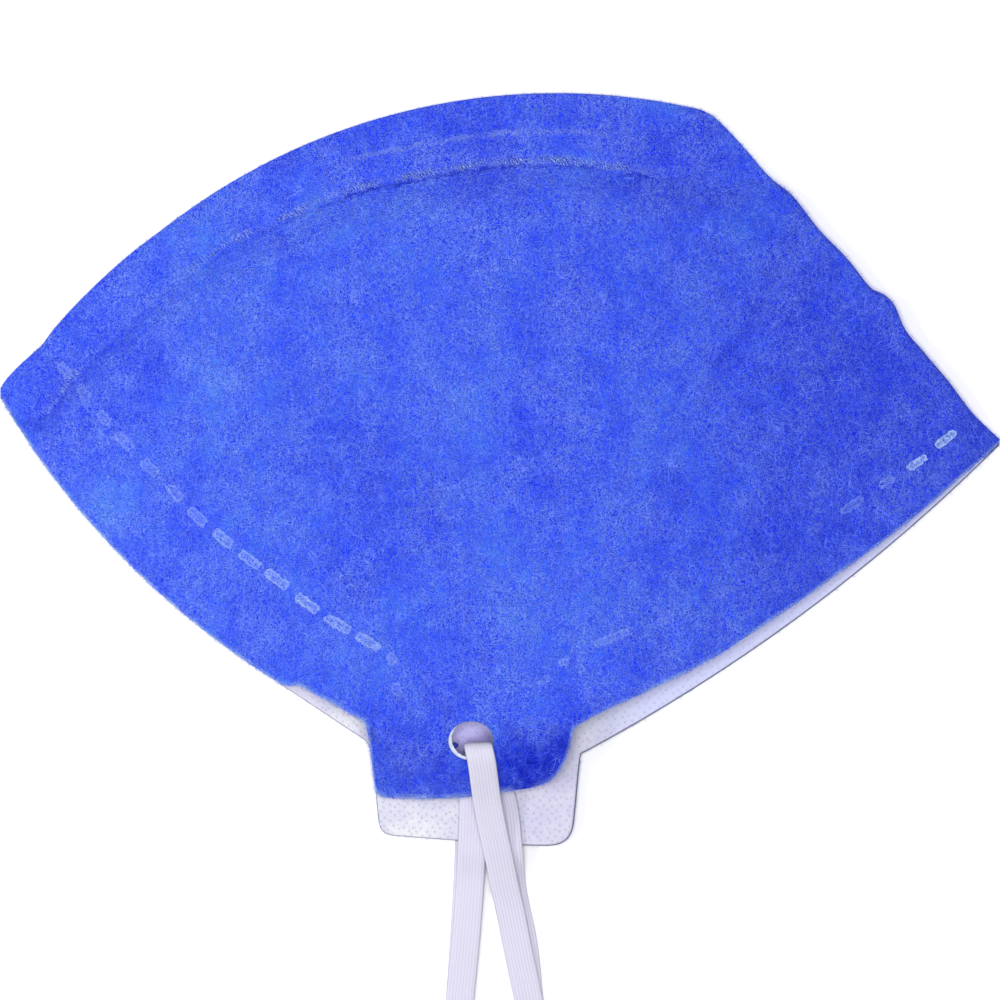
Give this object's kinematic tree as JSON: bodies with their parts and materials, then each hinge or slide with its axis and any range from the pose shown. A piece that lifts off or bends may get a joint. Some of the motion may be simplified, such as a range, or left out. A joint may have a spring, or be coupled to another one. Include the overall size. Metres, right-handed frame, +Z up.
{
  "type": "folding respirator mask",
  "caption": "Disposable respirator folded flat, a two-layer nonwoven pouch with a punched cheek tab on each half and one elastic loop through both holes.",
  "frame": {"origin": "middle of the footprint of the mask and its laid-out straps, on the surface that it lies on", "axes": "+X from the folded mask's blunt tip to the tip at the end of the fold, +Y from the straps to the welded arc, +Z up"},
  "size_m": [0.1944, 0.2716, 0.0156],
  "materials": {
    "cover_nonwoven": "blue spunbond nonwoven, matte with fine fibres",
    "lining_nonwoven": "white spunbond nonwoven with small point bonds",
    "elastic_braid": "flat braided elastic with long ribs"
  },
  "bodies": {
    "root": {"cover": "cover_nonwoven", "lining": "lining_nonwoven", "head_strap": "elastic_braid"}
  },
  "joints": []
}
